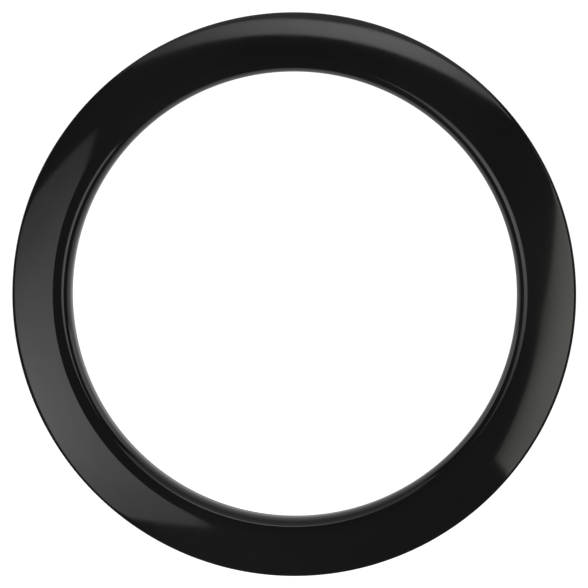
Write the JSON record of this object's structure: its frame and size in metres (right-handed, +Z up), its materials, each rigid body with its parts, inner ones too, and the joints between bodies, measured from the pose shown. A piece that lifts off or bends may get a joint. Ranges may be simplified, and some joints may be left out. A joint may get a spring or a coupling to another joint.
{
  "type": "fence insulator ring",
  "caption": "Round pass-through insulator: a domed gloss black flange ring with a clear round bore and a threaded neck, clamped in a panel hole by a lock ring from behind.",
  "frame": {"origin": "on the bore's axis, in the plane of the panel's front face, which the seal rests on", "axes": "+Y runs along the bore from the front to the back, +Z is up, +X is to the right seen from the front"},
  "size_m": [0.125, 0.0171, 0.125],
  "materials": {
    "gloss_black_shell": "high gloss black moulded plastic",
    "seal_rubber": "matte black rubber",
    "slip_nylon": "natural white nylon",
    "lock_plastic": "satin black moulded plastic",
    "insert_brass": "turned brass",
    "screw_steel": "stainless steel"
  },
  "bodies": {
    "front": {"front_ring": "gloss_black_shell", "panel_seal": "seal_rubber"},
    "slip": {"slip_ring": "slip_nylon"},
    "lock": {"lock_ring": "lock_plastic", "insert_1": "insert_brass", "insert_2": "insert_brass", "insert_3": "insert_brass", "grub_screw_1": "screw_steel", "grub_screw_2": "screw_steel", "grub_screw_3": "screw_steel"}
  },
  "joints": [
    {"name": "lock_travel", "type": "slide", "parent": "front", "child": "slip", "axis": [0, 1, 0], "range_m": [-0.002, 0.004]},
    {"name": "lock_turn", "type": "hinge", "parent": "slip", "child": "lock", "pos_m": [0, 0, 0], "axis": [0, 1, 0], "range_deg": [-240, 480]}
  ],
  "couplings": [
    {"joint": "lock_turn", "follows": "lock_travel", "rad_per_m": 2094.4}
  ]
}
